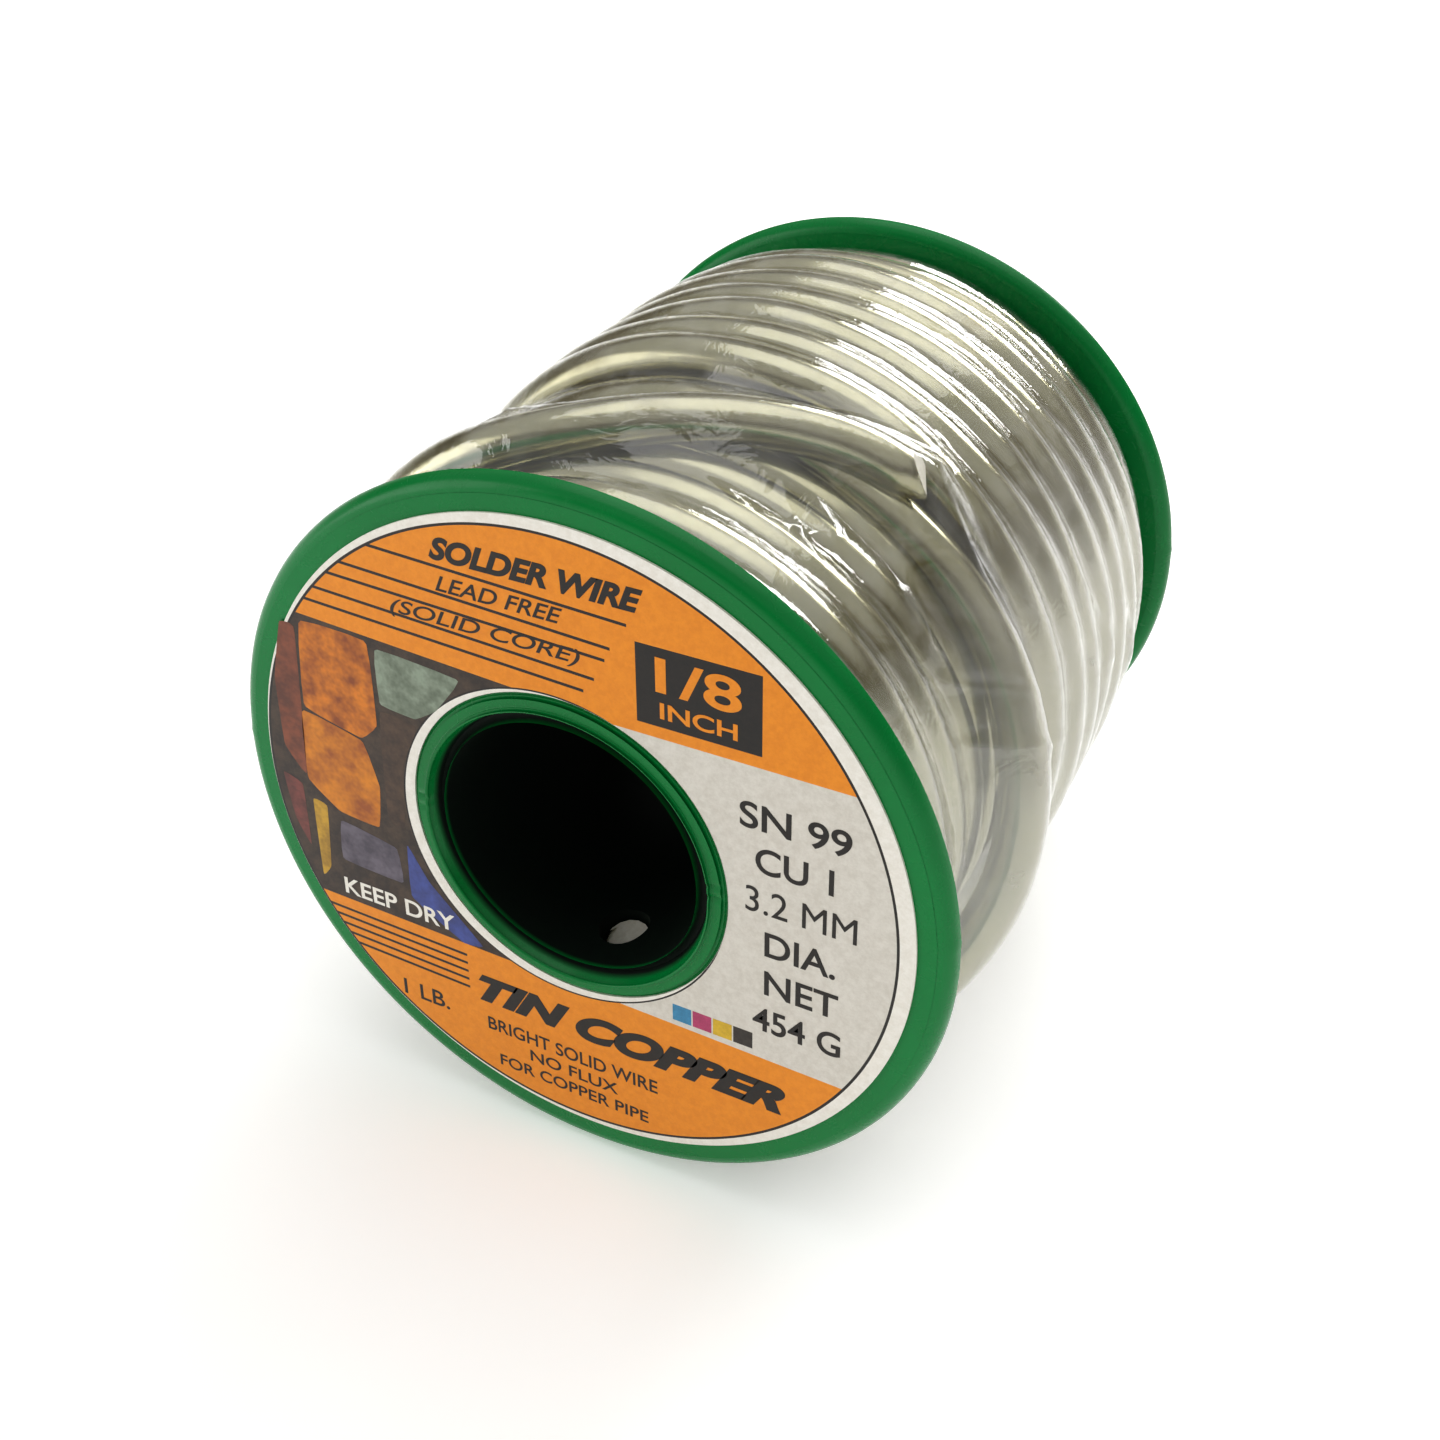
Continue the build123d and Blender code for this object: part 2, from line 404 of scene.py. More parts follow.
first_turns = strand(
    "wire_inner_turns", np.vstack([bend, inner]), INNER_SIDES, replaces=["wire_start", "wire_layer_1"],
    slot="solder_wire")
for vert in first_turns.data.vertices[:INNER_SIDES]:  # the end is cut on the slant, deeper towards the front
    vert.co.z -= 0.3 * (HOLE_Y * MM + WIRE_R * MM - vert.co.y)
strand("wire_second_layer", wound(full[::-1], LAYER_R[1], 0, 180, 6), 14, replaces=["wire_layer_2"], slot="solder_wire")
strand("wire_third_layer", wound(valleys, LAYER_R[2], 0, 180, 6), 14, replaces=["wire_layer_3"], slot="solder_wire")

# The fourth layer: five tight turns show in front of the gap, and the rest lie under the fifth, a
# little deeper. The path crosses from one group to the other on the far side.
REFERENCE = 20  # degrees from straight up at which the turns' places are given
front_turns = [-22.2, -18.95, -15.75, -12.5, -9.3]
covered_turns = [-2.6, 1.2, 4.9, 8.6, 12.3, 16.0]
fourth = wound(front_turns + covered_turns, LAYER_R[3] + 0.25, -160, REFERENCE, 3)
fourth[:, 2] -= np.clip((fourth[:, 1] + 6) / 4, 0, 1) * 0.2
LAST_FRONT = REFERENCE + (len(front_turns) - 1) * 360
crossing = (fourth[:, 0] > LAST_FRONT) & (fourth[:, 0] < LAST_FRONT + 360)
swing = np.clip((fourth[:, 0] - LAST_FRONT - 150) / 60, 0, 1)
eased = 3 * swing**2 - 2 * swing**3
fourth[crossing, 1] = (front_turns[-1] + (covered_turns[0] - front_turns[-1]) * eased)[crossing]
fourth = waver(softened(fourth, 15), 4, 0.05, 0.05)
strand("wire_fourth_layer", fourth, 24, replaces=["wire_layer_4"], slot="solder_wire")

# The fifth layer is wound back from the rear flange, slacker. Its last turn sinks into the gap, to
# the fourth layer's level. From there one loose turn climbs out on the right, swings forward
# underneath, comes up the left side, and crosses the top to its nipped end.
rear_turns = [21.8, 18.3, 14.8, 11.5, 8.2, 4.6, 1.2, -2.4, -6.6]
LOOSE_START = REFERENCE + (len(rear_turns) - 1) * 360
loose_course = np.array([  # degrees past the start, y, radius
    (0, -6.6, 21.6), (20, -7.0, 22.2), (40, -7.6, 23.2), (55, -9.2, 24.2), (80, -12.0, 24.4), (120, -14.4, 24.0),
    (180, -16.4, 23.8), (250, -17.6, 23.7), (300, -17.4, 23.7), (320, -16.4, 23.7), (330, -14.9, 23.7),
    (340, -12.5, 23.8), (350, -10.1, 23.8), (360, -8.0, 24.0), (370, -6.4, 24.4), (373, -6.2, 24.5),
])
OUTER_STEP = 2.5  # degrees
fifth = wound(rear_turns, LAYER_R[4] + 0.4, REFERENCE - 180, REFERENCE, OUTER_STEP)
fifth[:, 2] = np.interp(fifth[:, 1], [-6.6, -2.4, 14.8, 18.3, 21.8], [21.6, 23.6, 23.6, 23.1, 22.0])
fifth = fifth[fifth[:, 0] < LOOSE_START + 1]
loose_angles = np.arange(fifth[-1, 0] + OUTER_STEP, LOOSE_START + loose_course[-1, 0], OUTER_STEP)
loose_at = LOOSE_START + loose_course[:, 0]
loose_turn = np.column_stack([loose_angles] + [np.interp(loose_angles, loose_at, loose_course[:, k]) for k in (1, 2)])
fifth = waver(softened(np.vstack([fifth, loose_turn]), 11), 5, 0.08, 0.1)
tip_step = np.array([0.6, 0.13, 0.02])  # short steps on to the tip, so that its bevels are clean
outer = np.vstack([fifth] + [fifth[-1] + k * tip_step for k in range(1, 9)])
strand("wire_outer_turns", outer, 28, nipped=True, replaces=["wire_layer_5", "wire_tail"], slot="solder_wire")

# ---------------------------------------------------------------------------------------------
# The film: a sleeve of clear polyolefin, slipped over the winding and shrunk with hot air. It is
# tight over the crests, bridges the valleys, and is tented and creased round the free end.
FILM_T = 0.06
CREST_ROOM = 0.05
film_angles = np.concatenate([np.arange(-60, 110, 1.0), np.arange(110, 300, 2.5)])
film_ys = np.linspace(-INNER_Y + GAP, INNER_Y - GAP, 160)
film_step = film_ys[1] - film_ys[0]


def crests(path, angles, ys):
    """The outside of a wound strand as a height above the axis, for each angle and y."""
    height = np.zeros((len(angles), len(ys)))
    for k, angle in enumerate(angles):
        turns = np.arange(math.ceil((path[0, 0] - angle) / 360), math.floor((path[-1, 0] - angle) / 360) + 1)
        for at in angle + 360 * turns:
            y = np.interp(at, path[:, 0], path[:, 1])
            r = np.interp(at, path[:, 0], path[:, 2])
            inside = (WIRE_R + CREST_ROOM) ** 2 - (0.9 * (ys - y)) ** 2  # wider, for wire that slants
            height[k] = np.maximum(height[k], np.where(inside > 0, r + np.sqrt(np.maximum(inside, 0)), 0))
    return height


def stretched(height, spacing, bend_r, reach, axis, wrap):
    """Pull a height field taut along one axis: nothing bends in more sharply than bend_r."""
    steps = int(reach / spacing)
    for sign in (1, -1):
        padding = [(0, 0), (0, 0)]
        padding[axis] = (steps, steps)
        padded = np.pad(height, padding, mode="wrap" if wrap else "edge")
        shifted = []
        for k in range(-steps, steps + 1):
            part = np.take(padded, np.arange(steps + k, steps + k + height.shape[axis]), axis=axis)
            shifted.append(part - sign * (k * spacing) ** 2 / (2 * bend_r))
        height = np.max(shifted, axis=0) if sign == 1 else np.min(shifted, axis=0)
    return height


even_angles = np.arange(-60, 300, 1.0)
wound_up = np.maximum(crests(fourth, even_angles, film_ys), crests(outer, even_angles, film_ys))
wound_up = np.maximum(wound_up, LAYER_R[2] + WIRE_R)
film_height = stretched(wound_up, film_step, 1.5, 8.0, 1, False)
# at the left the film never shrank down into the valleys, so there it bends less sharply
SLACK_ANGLE = -80
slack = stretched(wound_up, film_step, 18.0, 12.0, 1, False)
from_slack = np.abs((even_angles - SLACK_ANGLE + 180) % 360 - 180)
film_height += (slack - film_height) * np.clip((from_slack - 45) / -25, 0, 1)[:, None]
film_height = stretched(film_height, math.radians(1) * 23, 24.0, 12.0, 0, True)
film_height = np.maximum(film_height, wound_up)


def crease(height, start, end, proud, width):
    """Raise a ridge between two (angle, y) points, tapering to nothing at both ends."""
    scale = math.radians(1) * 23.5
    a = np.array([start[0] * scale, start[1]])
    b = np.array([end[0] * scale, end[1]])
    grid = np.stack(np.meshgrid(even_angles * scale, film_ys, indexing="ij"), axis=-1)
    t = np.clip(((grid - a) @ (b - a)) / ((b - a) @ (b - a)), 0, 1)
    off = np.linalg.norm(grid - (a + t[..., None] * (b - a)), axis=-1)
    return height + proud * np.exp(-(off / width) ** 2) * np.sin(np.pi * np.clip(t, 0.02, 0.98)) ** 0.5


for start, end, proud, width in (
    ((33, -8.4), (57, -13.2), 0.35, 0.5),
    ((21, -16.2), (35, -12.8), 0.25, 0.35),
    ((22, -12.9), (34, -16.4), 0.22, 0.35),
    ((-26, -18.0), (-15, -13.2), 0.2, 0.4),
    ((-24, -14.0), (-17, -18.5), 0.18, 0.35),
    ((-30, -15.5), (-12, -15.0), 0.16, 0.35),
    ((24, 19.5), (38, 21.8), 0.2, 0.45),
    ((36, -6.0), (52, -7.0), 0.2, 0.4),
    ((58, -15), (72, -8), 0.18, 0.4),
    ((70, -16), (88, -2), 0.2, 0.4),
    ((66, 4), (92, 9), 0.15, 0.4),
    ((80, 12), (100, 15), 0.18, 0.45),
):
    film_height = crease(film_height, start, end, proud, width)
film_inside = np.empty((len(film_angles), len(film_ys)))
for j in range(len(film_ys)):
    film_inside[:, j] = np.interp(film_angles, even_angles, film_height[:, j], period=360)
rows, row_length = len(film_angles), len(film_ys)
points = []
for lift in (GAP, GAP + FILM_T):
    for i, angle in enumerate(film_angles):
        points += [on_spool(angle, film_inside[i, j] + lift, film_ys[j]) for j in range(row_length)]
faces = []
outer_start = rows * row_length
for i in range(rows):
    after = (i + 1) % rows
    for j in range(row_length - 1):
        corner = [i * row_length + j, after * row_length + j, after * row_length + j + 1, i * row_length + j + 1]
        faces += [corner, [outer_start + n for n in reversed(corner)]]
    for j in (0, row_length - 1):
        a, b = i * row_length + j, after * row_length + j
        faces.append([a, b, b + outer_start, a + outer_start])

# Clear polyolefin: thin and colourless, so it shows by its sharp reflections, and by a faint
# milky haze where it has puckered. It has bunched and frosted most at the two sides.
film, film_out = new_material("clear_polyolefin_film")
place = node(film, "TexCoord").outputs["Object"]
pucker = node(film, "TexNoise", {  # 4 mm
    "Vector": place, "Scale": 260, "Detail": 4, "Roughness": 0.55, "Distortion": 0.8})
fine_pucker = node(film, "TexNoise", {"Vector": place, "Scale": 1100, "Detail": 2})  # 0.9 mm
wrinkle = node(film, "Bump", {"Height": pucker.outputs["Fac"], "Strength": 0.35, "Distance": 0.0004})
ripple = node(film, "Bump", {
    "Height": fine_pucker.outputs["Fac"], "Strength": 0.1, "Distance": 0.0001, "Normal": wrinkle.outputs["Normal"]})
grazing = node(film, "LayerWeight", {"Blend": 0.5, "Normal": ripple.outputs["Normal"]})
steep = node(film, "Math", {0: grazing.outputs["Facing"], 1: 5.0}, operation="POWER")
facing = node(film, "MapRange", {"Value": steep.outputs["Value"], "To Min": 0.05, "To Max": 1.0})
haze = node(film, "MapRange", {
    "Value": pucker.outputs["Fac"], "From Min": 0.45, "From Max": 0.8, "To Min": 0.02, "To Max": 0.12})
clear = node(film, "BsdfTransparent", {"Color": (1, 1, 1, 1)})
shine = node(film, "BsdfGlossy", {"Color": (1, 1, 1, 1), "Roughness": 0.035, "Normal": ripple.outputs["Normal"]})
sideways = node(film, "SeparateXYZ", {"Vector": place})
from_middle = node(film, "Math", {0: sideways.outputs["X"]}, operation="ABSOLUTE")
bunched = node(film, "MapRange", {
    "Value": from_middle.outputs["Value"], "From Min": 17 * MM, "From Max": 25 * MM, "To Min": 0.0, "To Max": 0.22})
frost = node(film, "Math", {0: haze.outputs["Result"], 1: bunched.outputs["Result"]}, operation="ADD")
milk = node(film, "BsdfDiffuse", {"Color": linear("#F4F3EC")})
see_through = node(film, "MixShader", {
    "Fac": frost.outputs["Value"], 1: clear.outputs["BSDF"], 2: milk.outputs["BSDF"]})
skin_mix = node(film, "MixShader", {
    "Fac": facing.outputs["Result"], 1: see_through.outputs["Shader"], 2: shine.outputs["BSDF"]})
film.node_tree.links.new(skin_mix.outputs["Shader"], film_out.inputs["Surface"])
add_piece("shrink_film_sleeve", points, faces, [film], ["shrink_film"], "clear_film", sharp=180)

# ---------------------------------------------------------------------------------------------
# The label: a ring of coated paper printed in orange, grey, black and a mosaic picture, glued to
# the front flange. The print is a little off centre on it, so a white edge shows at the upper right.
label_low, label_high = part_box("front_label")
LABEL_R = (label_high[0] - label_low[0]) / 2 / MM
LABEL_HOLE_R = 11.3
LABEL_FACE = label_low[1] / MM
PRINT_OFF = Vector((-0.48, -0.24))  # mm to the right and up
PATCH_Y = LABEL_FACE - 0.006  # the mosaic and the colour squares lie just over the other ink
UNIT = FLANGE_R  # the layout below is in flange radii, right and up from the spool's axis


def printed(name, base, deeper, grain_scale=2200):
    """Ink on coated paper: a fine print mottle between two tones, satin, with a paper-fibre skin."""
    material, out = new_material(name)
    place = node(material, "TexCoord").outputs["Object"]
    mottle = node(material, "TexNoise", {"Vector": place, "Scale": grain_scale, "Detail": 3, "Roughness": 0.7})
    colour = ramp(material, mottle.outputs["Fac"], ((0.35, deeper), (0.65, base)))
    fibre = node(material, "TexNoise", {"Vector": place, "Scale": 1500, "Detail": 5})  # 0.7 mm, coarser than real
    surface = node(material, "Bump", {"Height": fibre.outputs["Fac"], "Strength": 0.1, "Distance": 0.00004})
    shader = node(material, "BsdfPrincipled", {
        "Base Color": colour, "Roughness": 0.42, "IOR": 1.5, "Normal": surface.outputs["Normal"]})
    material.node_tree.links.new(shader.outputs["BSDF"], out.inputs["Surface"])
    return material


paper = printed("white_coated_paper", "#F1EEE6", "#E6E2D8")
orange = printed("orange_ink", "#EC9210", "#E28804")
black = printed("black_ink", "#15110D", "#1E1813")
grey = printed("grey_ink", "#DCD8CF", "#CFCAC0")
grout = printed("grout_ink", "#2E221B", "#4A3A2C", 900)
PAPER, ORANGE, BLACK, GREY, GROUT = range(5)


def offset_circle(radius, angle):
    """Distance from the spool's axis to the print's own off-centre circle."""
    way = Vector((math.cos(angle), math.sin(angle)))
    across = PRINT_OFF.dot(way)
    return across + math.sqrt(radius ** 2 - PRINT_OFF.length_squared + across ** 2)


def edge_height(x, left, right):
    """The height at x of a printed line through two (x, up) points."""
    return left[1] + (right[1] - left[1]) * (x - left[0]) / (right[0] - left[0])


top_lines = [
    ((-0.525, 0.73), (0.195, 0.70)),
    ((-0.6, 0.66), (0.15, 0.625)),
    ((-0.65, 0.62), (0.135, 0.59)),
    ((-0.7, 0.567), (0.105, 0.53)),
    ((-0.73, 0.525), (0.075, 0.49)),
]
top_edge_left = ((-0.765, 0.475), (0.05, 0.43))
top_edge_right = ((0.0, 0.42), (0.9, 0.42))
bottom_edge = ((-0.8, -0.428), (0.7, -0.453))
low_lines = [((-0.78, up), (-0.33, up - 0.008)) for up in (-0.468, -0.496, -0.524, -0.552, -0.58)]
panel = ((0.215, 0.665), (0.53, 0.452))  # a black panel that carries the wire's size in inches
LINE = 0.0042  # half the thickness of a printed rule


def ink_at(x, up):
    """Which ink covers a place on the print."""
    if up > edge_height(x, *(top_edge_left if x < 0 else top_edge_right)):
        for left, right in top_lines:
            if x < right[0] and abs(up - edge_height(x, left, right)) < LINE:
                return BLACK
        if panel[0][0] < x < panel[1][0] and panel[1][1] < up < panel[0][1]:
            return BLACK
        return ORANGE
    if up < edge_height(x, *bottom_edge):
        for left, right in low_lines:
            if x < right[0] and abs(up - edge_height(x, left, right)) < LINE:
                return BLACK
        return ORANGE
    return GREY if x > 0 else GROUT


ring_count = 240
ring_radii = []
for k in range(ring_count):
    angle = 2 * math.pi * k / ring_count
    start, first, second, third, last = (
        LABEL_HOLE_R, offset_circle(11.6, angle), offset_circle(11.72, angle), offset_circle(22.5, angle),
        offset_circle(22.68, angle))
    first = max(first, LABEL_HOLE_R + 0.01)
    second = max(second, first + 0.01)
    third = min(third, LABEL_R - 0.03)
    last = min(last, LABEL_R - 0.01)
    middle = [second + (third - second) * t for t in (0.25, 0.5, 0.75)]
    ring_radii.append([start, first, second] + middle + [third, last, LABEL_R])
face_mesh = bmesh.new()
grid = [
    [face_mesh.verts.new((r * math.cos(2 * math.pi * k / ring_count), 0, r * math.sin(2 * math.pi * k / ring_count)))
     for r in radii]
    for k, radii in enumerate(ring_radii)
]
zone = face_mesh.faces.layers.int.new("zone")
for k in range(ring_count):
    after = (k + 1) % ring_count
    for j in range(8):
        face = face_mesh.faces.new((grid[k][j], grid[after][j], grid[after][j + 1], grid[k][j + 1]))
        face[zone] = (0, 1, 2, 2, 2, 2, 1, 0)[j]  # paper, black outline, or printed inside it
cuts = []
for left, right in top_lines + low_lines:
    cuts += [((left[0], left[1] + s * LINE), (right[0], right[1] + s * LINE)) for s in (1, -1)]
    cuts.append(((right[0], right[1]), (right[0], right[1] + 1)))
cuts += [top_edge_left, top_edge_right, bottom_edge, ((0, 0), (0, 1))]
for x, up in panel:
    cuts += [((0, up), (1, up)), ((x, 0), (x, 1))]
for start, end in cuts:
    way = Vector((end[0] - start[0], 0, end[1] - start[1]))
    everything = face_mesh.verts[:] + face_mesh.edges[:] + face_mesh.faces[:]
    bmesh.ops.bisect_plane(
        face_mesh, geom=everything, dist=1e-5, plane_co=(start[0] * UNIT, 0, start[1] * UNIT),
        plane_no=way.cross(Vector((0, 1, 0))))
for face in face_mesh.faces:
    middle = face.calc_center_median()
    if face[zone] == 2:
        face.material_index = ink_at(middle.x / UNIT, middle.z / UNIT)
    else:
        face.material_index = BLACK if face[zone] == 1 else PAPER
face_mesh.verts.index_update()
points = [(v.co.x, y, v.co.z + AXIS_Z) for y in (LABEL_FACE, -END_Y) for v in face_mesh.verts]
back = len(face_mesh.verts)
faces = [[v.index for v in face.verts] for face in face_mesh.faces]
indices = [face.material_index for face in face_mesh.faces]
faces += [[back + n for n in reversed(face)] for face in faces]
for edge in face_mesh.edges:
    if edge.is_boundary:
        a, b = edge.verts[0].index, edge.verts[1].index
        faces.append([a, b, back + b, back + a])
indices += [PAPER] * (len(faces) - len(indices))
face_mesh.free()
inks = [paper, orange, black, grey, grout]
label = add_piece("label_paper_ring", points, faces, inks, ["front_label"], "label_paper")
label.data.polygons.foreach_set("material_index", indices)

# The lettering: plain product facts, black on the grey and orange, white over the picture, and
# orange on the black panel, each in its own size, weight and slant.
INK_Y = LABEL_FACE - 0.012


def lettering(name, ink, lines):
    """Printed words as one flat mesh. Each line is (words, left, right, base, top, slant, weight)."""
    points, faces = [], []
    for words, left, right, base, top, slant, weight in lines:
        curve = bpy.data.curves.new("words", "FONT")
        curve.body = words
        curve.shear = slant
        curve.offset = weight
        text = bpy.data.objects.new("words", curve)
        bpy.context.scene.collection.objects.link(text)
        bpy.context.view_layer.update()
        flat_mesh = bpy.data.meshes.new_from_object(text)
        corners = np.array([v.co[:2] for v in flat_mesh.vertices])
        low, high = corners.min(axis=0), corners.max(axis=0)
        placed = (corners - low) / (high - low) * [right - left, top - base] + [left, base]
        first = len(points)
        points += [(x * UNIT, INK_Y, AXIS_Z + up * UNIT) for x, up in placed]
        faces += [[first + n for n in face.vertices] for face in flat_mesh.polygons]
        bpy.data.objects.remove(text)
        bpy.data.meshes.remove(flat_mesh)
    return add_piece(name, points, faces, [ink], slot="label_paper")


lettering("label_words_black", black, [
    ("SOLDER WIRE", -0.33, 0.24, 0.738, 0.803, 0.35, 0.045),
    ("LEAD FREE", -0.32, 0.03, 0.655, 0.698, 0.35, 0.012),
    ("(SOLID CORE)", -0.46, 0.07, 0.547, 0.6, 0.3, 0.008),
    ("SN 99", 0.475, 0.75, 0.245, 0.32, 0, 0.014),
    ("CU 1", 0.515, 0.71, 0.125, 0.2, 0, 0.014),
    ("3.2 MM", 0.49, 0.77, 0.005, 0.08, 0, 0.0),
    ("DIA.", 0.54, 0.72, -0.12, -0.045, 0, 0.014),
    ("NET", 0.54, 0.73, -0.24, -0.165, 0, 0.014),
    ("454 G", 0.51, 0.74, -0.36, -0.285, 0, 0.014),
    ("TIN COPPER", -0.3, 0.6, -0.62, -0.525, 0.4, 0.06),
    ("1 LB.", -0.555, -0.405, -0.705, -0.65, 0, 0.01),
    ("BRIGHT SOLID WIRE", -0.28, 0.24, -0.715, -0.67, 0, 0.012),
    ("NO FLUX", -0.15, 0.12, -0.775, -0.735, 0, 0.012),
    ("FOR COPPER PIPE", -0.25, 0.21, -0.835, -0.795, 0, 0.012),
])
lettering("label_words_white", paper, [("KEEP DRY", -0.72, -0.36, -0.41, -0.355, 0, 0.02)])
lettering("label_words_orange", orange, [
    ("1/8", 0.265, 0.48, 0.545, 0.64, 0, 0.02),
    ("INCH", 0.275, 0.47, 0.475, 0.52, 0, 0.02),
])

# The mosaic picture: rounded tesserae in stone colours, printed over the dark grout. Each has a
# light and a dark tone, the fineness of its mottle, and its corners in flange radii.
tesserae = [
    ("amber_tile", "#D9800F", "#8A4512", 500, [
        (-0.75, 0.445), (-0.55, 0.44), (-0.55, 0.2), (-0.6, 0.15), (-0.77, 0.19)]),
    ("ochre_tile", "#D88612", "#9A5216", 450, [
        (-0.78, 0.165), (-0.6, 0.125), (-0.565, 0.0), (-0.58, -0.13), (-0.7, -0.12), (-0.79, -0.05)]),
    ("rust_tile", "#8A4A2E", "#5E3222", 600, [
        (-0.82, 0.42), (-0.775, 0.42), (-0.8, -0.03), (-0.86, 0.05), (-0.86, 0.25)]),
    ("sage_tile", "#8F9C8A", "#65705F", 700, [
        (-0.52, 0.43), (-0.28, 0.41), (-0.36, 0.3), (-0.42, 0.26), (-0.52, 0.27)]),
    ("umber_tile", "#55402F", "#3A2A20", 800, [
        (-0.53, 0.24), (-0.42, 0.22), (-0.475, 0.1), (-0.49, -0.1), (-0.54, -0.09)]),
    ("slate_tile", "#6B6470", "#4A4450", 700, [
        (-0.7, -0.16), (-0.53, -0.19), (-0.52, -0.3), (-0.71, -0.29)]),
    ("blue_tile", "#4455A0", "#37407A", 700, [
        (-0.485, -0.17), (-0.43, -0.27), (-0.28, -0.42), (-0.34, -0.43), (-0.49, -0.34)]),
    ("straw_tile", "#C79C2C", "#93701F", 700, [
        (-0.79, -0.12), (-0.745, -0.13), (-0.76, -0.33), (-0.79, -0.37)]),
    ("maroon_tile", "#7C4038", "#4E2B26", 700, [
        (-0.88, -0.06), (-0.82, -0.08), (-0.82, -0.28), (-0.86, -0.2)]),
]
TILE_SWELL = 1.08  # leaves a thin line of grout between tiles
points, faces, indices, tile_inks = [], [], [], []
for index, (name, light, dark, scale, shape) in enumerate(tesserae):
    tile_inks.append(printed(name + "_ink", light, dark, scale))
    ring = [Vector(corner) for corner in shape]
    middle = sum(ring, Vector((0, 0))) / len(ring)
    ring = [middle + (corner - middle) * TILE_SWELL for corner in ring]
    for cut in (0.07, 0.25):  # cut the corners off, then round what is left
        ring = [p.lerp(q, t) for p, q in zip(ring, ring[1:] + ring[:1]) for t in (cut, 1 - cut)]
    faces.append(list(range(len(points), len(points) + len(ring))))
    points += [(p.x * UNIT, PATCH_Y, AXIS_Z + p.y * UNIT) for p in ring]
    indices.append(index)
mosaic = add_piece("label_mosaic", points, faces, tile_inks, slot="label_paper")
mosaic.data.polygons.foreach_set("material_index", indices)

# A row of four small colour squares, as a printer's check of the inks.
SQUARE = 0.052
points, faces, patch_inks = [], [], []
for index, (name, light, dark) in enumerate((
    ("cyan_patch", "#3E8FB8", "#357EA4"), ("magenta_patch", "#B8406F", "#A23862"),
    ("yellow_patch", "#D9B42A", "#C4A020"), ("black_patch", "#3A342E", "#2A2520"),
)):
    patch_inks.append(printed(name + "_ink", light, dark))
    x, up = 0.29 + 0.056 * index, -0.378
    faces.append(list(range(len(points), len(points) + 4)))
    points += [
        ((x + dx) * UNIT, PATCH_Y, AXIS_Z + (up + dy) * UNIT)
        for dx, dy in ((0, 0), (SQUARE, 0), (SQUARE, -SQUARE), (0, -SQUARE))
    ]
patches = add_piece("label_colour_squares", points, faces, patch_inks, slot="label_paper")
patches.data.polygons.foreach_set("material_index", list(range(4)))

# ---------------------------------------------------------------------------------------------
# The table: a sheet of matt white acrylic, lit from below so that shadows on it stay pale. It is
# wide enough to fill the view from any side.
floor_mesh = bpy.data.meshes.new("floor")
grid_mesh = bmesh.new()
bmesh.ops.create_grid(grid_mesh, x_segments=4, y_segments=4, size=4)
grid_mesh.to_mesh(floor_mesh)
grid_mesh.free()
acrylic, acrylic_out = new_material("matt_white_acrylic")
place = node(acrylic, "TexCoord").outputs["Object"]
speckle = node(acrylic, "TexNoise", {"Vector": place, "Scale": 30, "Detail": 3})
white = ramp(acrylic, speckle.outputs["Fac"], ((0.3, "#F6F6F6"), (0.7, "#FAFAFA")))
acrylic_shader = node(acrylic, "BsdfPrincipled", {
    "Base Color": white, "Roughness": 0.7, "IOR": 1.49, "Emission Color": white, "Emission Strength": 0.28})
acrylic.node_tree.links.new(acrylic_shader.outputs["BSDF"], acrylic_out.inputs["Surface"])
floor_mesh.materials.append(acrylic)
floor = bpy.data.objects.new("floor", floor_mesh)
bpy.context.scene.collection.objects.link(floor)

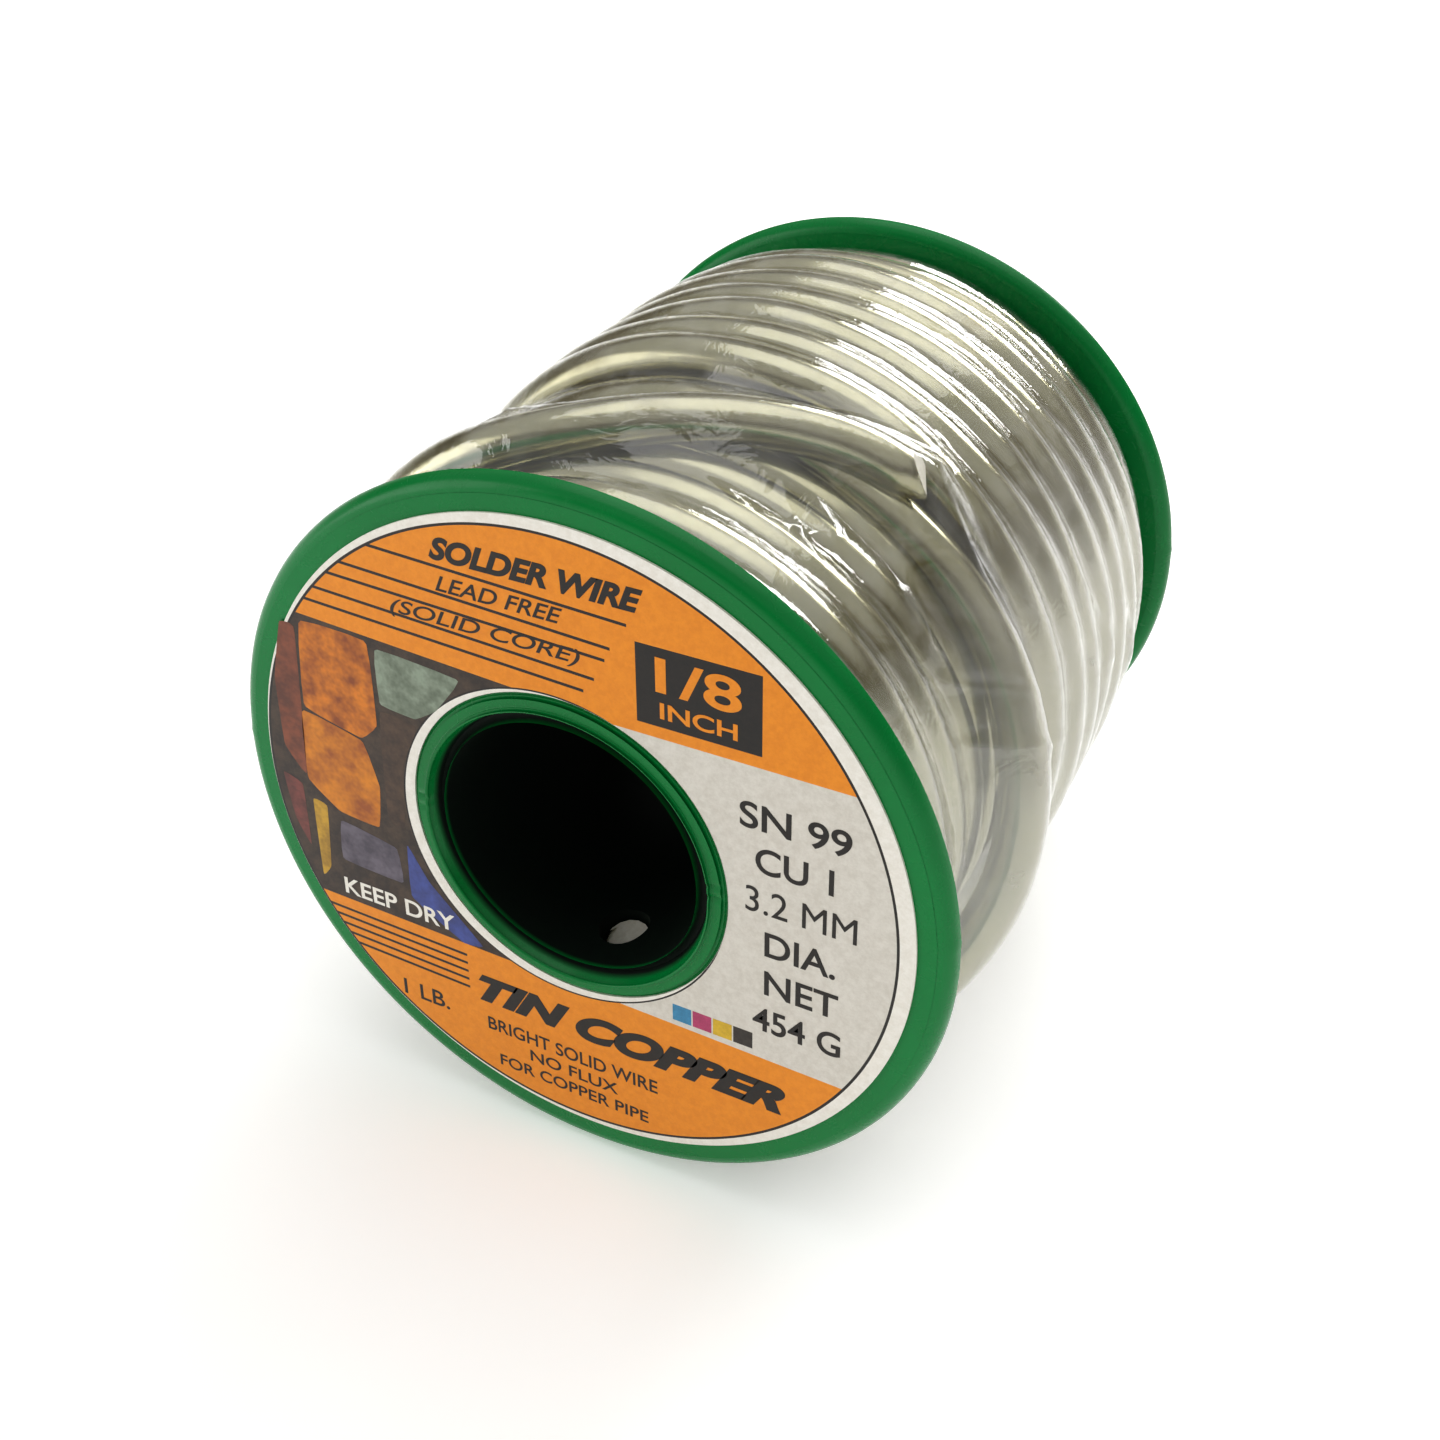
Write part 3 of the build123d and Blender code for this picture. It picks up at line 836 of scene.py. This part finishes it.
# ---------------------------------------------------------------------------------------------
# The studio: a long softbox behind and above, a soft light overhead, a weak fill from the left,
# and a white room with a band of brown furniture round it, which draws the dark lines that run
# beside the highlights on the wire.
scene = bpy.context.scene
scene.view_settings.view_transform = "Standard"
scene.view_settings.look = "Medium High Contrast"
target = Vector((0, 0, AXIS_Z * MM))


def softbox(name, direction, distance, width, height, watts):
    """A rectangular soft light that faces the spool."""
    light = bpy.data.lights.new(name, "AREA")
    light.shape = "RECTANGLE"
    light.size = width
    light.size_y = height
    light.energy = watts
    lamp = bpy.data.objects.new(name, light)
    way = Vector(direction).normalized()
    lamp.location = target + way * distance
    lamp.rotation_euler = way.to_track_quat("Z", "Y").to_euler()
    scene.collection.objects.link(lamp)


softbox("rear_softbox", (0.17, 0.85, 0.5), 0.6, 0.4, 0.14, 1.7)
softbox("overhead_softbox", (0.0, 0.15, 1.0), 0.8, 0.8, 0.8, 2.0)
softbox("front_fill", (-0.75, -0.6, 0.25), 0.7, 0.4, 0.4, 1.0)
world = bpy.data.worlds.new("studio")
world.use_nodes = True
height = node(world, "SeparateXYZ", {"Vector": node(world, "TexCoord").outputs["Generated"]})
room = ramp(world, height.outputs["Z"], (
    (0.1, "#F2F1EE"), (0.22, "#766C58"), (0.38, "#857B66"), (0.56, "#F2F1EE"), (1.0, "#FAFAF8")))
sky = world.node_tree.nodes["Background"]
world.node_tree.links.new(room, sky.inputs["Color"])
sky.inputs["Strength"].default_value = 0.55
scene.world = world

# ---------------------------------------------------------------------------------------------
# The camera stands in front, to the right and above, and looks down at the labelled end.
camera = bpy.data.cameras.new("camera")
camera.sensor_width = 36
camera.lens = 42.24
camera.shift_y = -0.1604
camera.clip_start = 0.005
eye = bpy.data.objects.new("camera", camera)
right = Vector((0.8938, 0.4485, -0.0044)).normalized()
forward = Vector((-0.3996, 0.7917, -0.4622)).normalized()
above = right.cross(forward).normalized()
turn = Matrix((right, above, -forward)).transposed()
eye.matrix_world = Matrix.Translation((0.0460, -0.0957, 0.0938)) @ turn.to_4x4()
scene.collection.objects.link(eye)
scene.camera = eye
